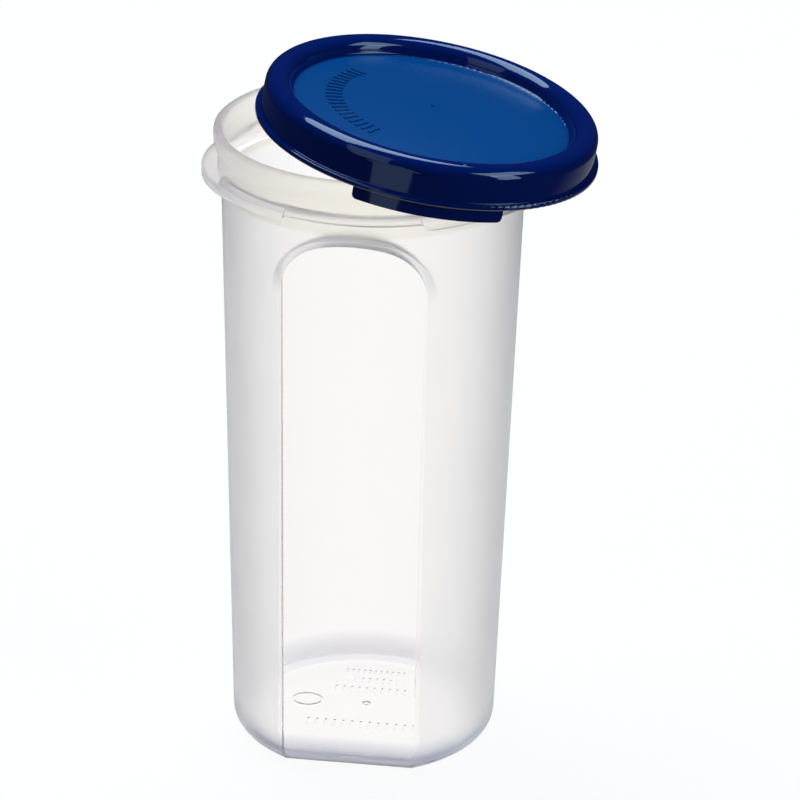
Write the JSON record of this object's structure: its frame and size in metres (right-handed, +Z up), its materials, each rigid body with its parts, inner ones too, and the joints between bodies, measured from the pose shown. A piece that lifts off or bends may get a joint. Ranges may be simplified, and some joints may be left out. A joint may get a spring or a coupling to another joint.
{
  "type": "round storage container",
  "caption": "Tall round translucent jar with a flat clear window, a collar with finger ears, and a push-on blue lid lying tipped on its lip; the lid lifts off.",
  "frame": {"origin": "centre of the jar's round foot, on the surface it stands on", "axes": "+Z up the jar's axis, -Y towards the flat clear window, the finger ears stand out along X"},
  "size_m": [0.1122, 0.0979, 0.2057],
  "materials": {
    "natural_polypropylene": "natural moulded polypropylene, frosted and translucent, with a polished clear window panel",
    "blue_polypropylene": "dark blue moulded polypropylene, glossy ring and skirt, fine matt texture on the panel"
  },
  "bodies": {
    "container": {"container_body": "natural_polypropylene"},
    "lid": {"lid": "blue_polypropylene"}
  },
  "joints": [
    {"name": "lid_lift", "type": "slide", "parent": "container", "child": "lid", "axis": [0, 0, 1], "range_m": [0, 0.08]}
  ]
}
